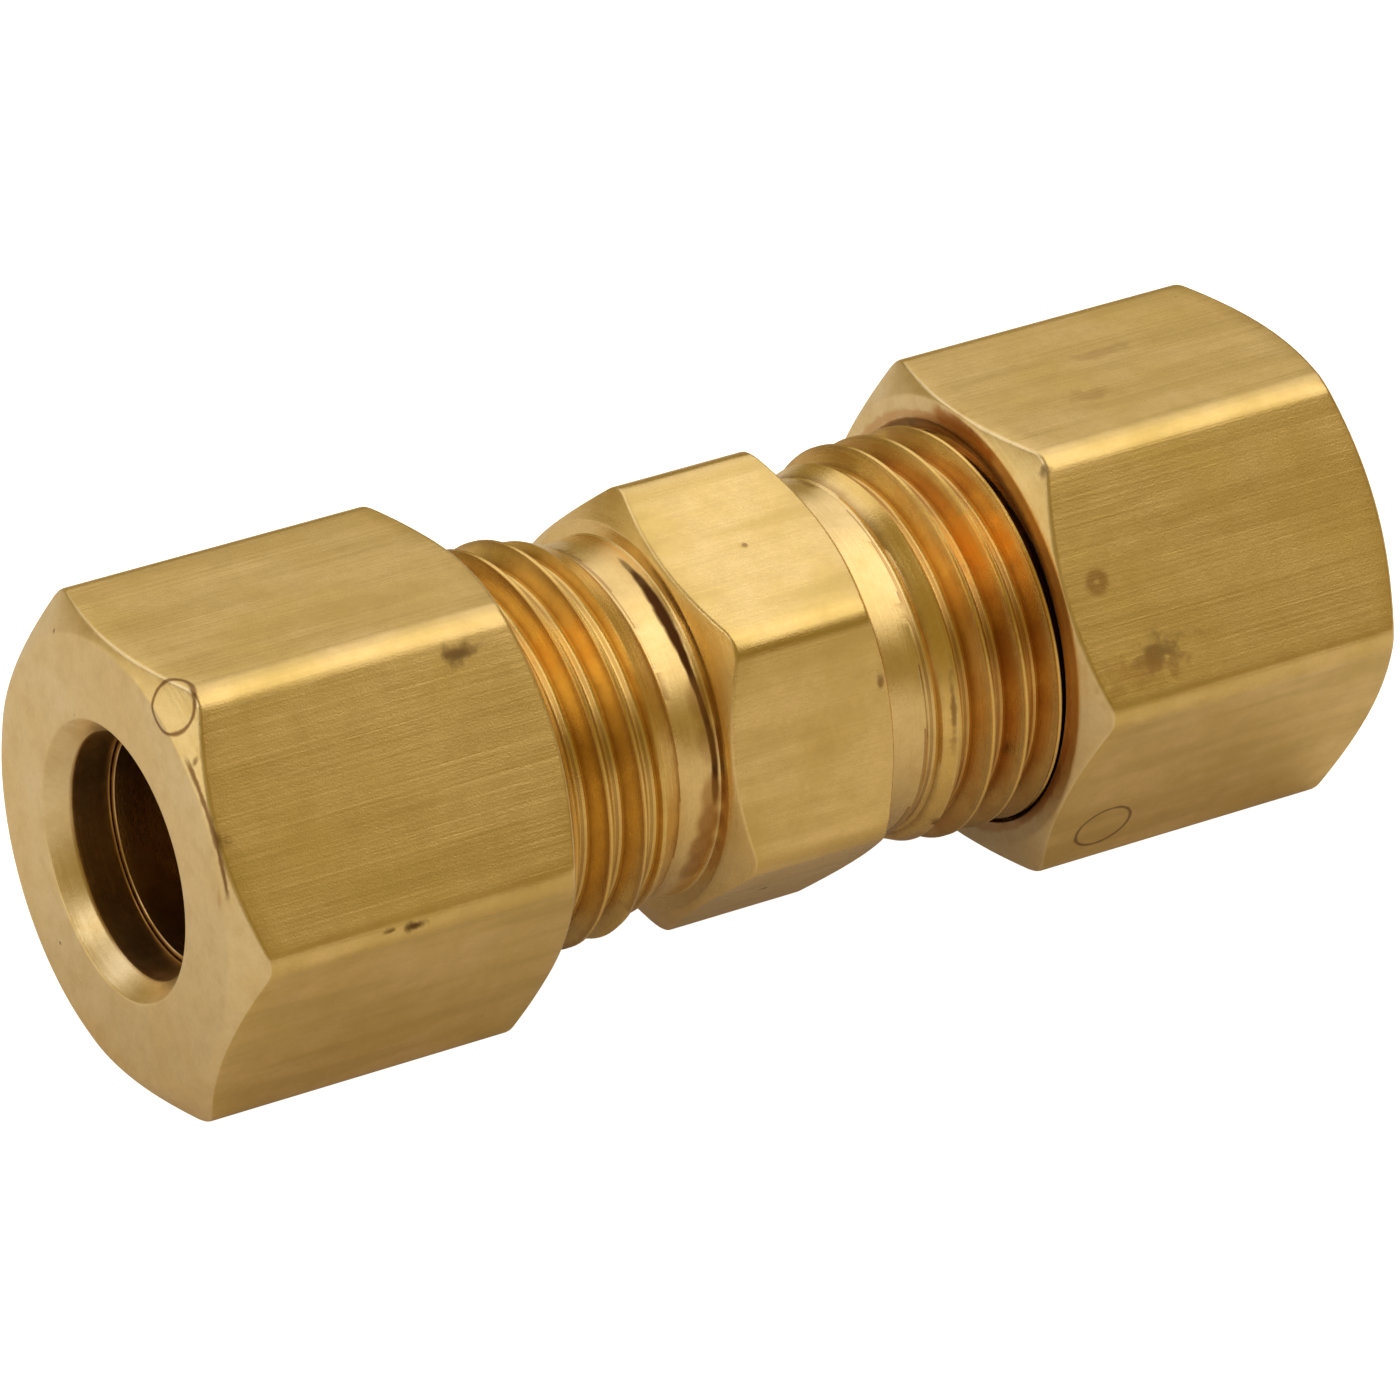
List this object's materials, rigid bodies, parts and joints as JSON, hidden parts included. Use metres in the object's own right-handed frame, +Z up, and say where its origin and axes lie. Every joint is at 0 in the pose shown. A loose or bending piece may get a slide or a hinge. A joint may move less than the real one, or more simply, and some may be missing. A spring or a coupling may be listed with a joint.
{
  "type": "compression fitting",
  "caption": "Straight brass compression union that joins two tubes end to end: hexagonal body, threaded ends, long hexagonal nuts and loose sleeves.",
  "frame": {"origin": "the middle of the union body, on the axis that the two tubes share", "axes": "+X along the tubes' axis towards the right-hand nut, +Z up from the nut flats that the fitting lies on"},
  "size_m": [0.0362, 0.0144, 0.0128],
  "materials": {
    "body_brass": "turned bright, lightly tarnished in the thread",
    "nut_brass": "drawn flats with a turned satin end face",
    "sleeve_brass": "turned smooth"
  },
  "bodies": {
    "union": {"union_body": "body_brass"},
    "left_sleeve": {"left_sleeve": "sleeve_brass"},
    "left_nut": {"left_nut": "nut_brass"},
    "right_sleeve": {"right_sleeve": "sleeve_brass"},
    "right_nut": {"right_nut": "nut_brass"}
  },
  "joints": [
    {"name": "left_sleeve_slide", "type": "slide", "parent": "union", "child": "left_sleeve", "axis": [1, 0, 0], "range_m": [-0.00265, 0.00038]},
    {"name": "left_nut_turn", "type": "hinge", "parent": "left_sleeve", "child": "left_nut", "pos_m": [-0.01297, 0, 0], "axis": [1, 0, 0], "range_deg": [-900, 130]},
    {"name": "right_sleeve_slide", "type": "slide", "parent": "union", "child": "right_sleeve", "axis": [1, 0, 0], "range_m": [-0.00038, 0.00265]},
    {"name": "right_nut_turn", "type": "hinge", "parent": "right_sleeve", "child": "right_nut", "pos_m": [0.01297, 0, 0], "axis": [1, 0, 0], "range_deg": [-130, 900]}
  ],
  "couplings": [
    {"joint": "left_sleeve_slide", "follows": "left_nut_turn", "m_per_rad": 0.00016844},
    {"joint": "right_sleeve_slide", "follows": "right_nut_turn", "m_per_rad": 0.00016844}
  ]
}
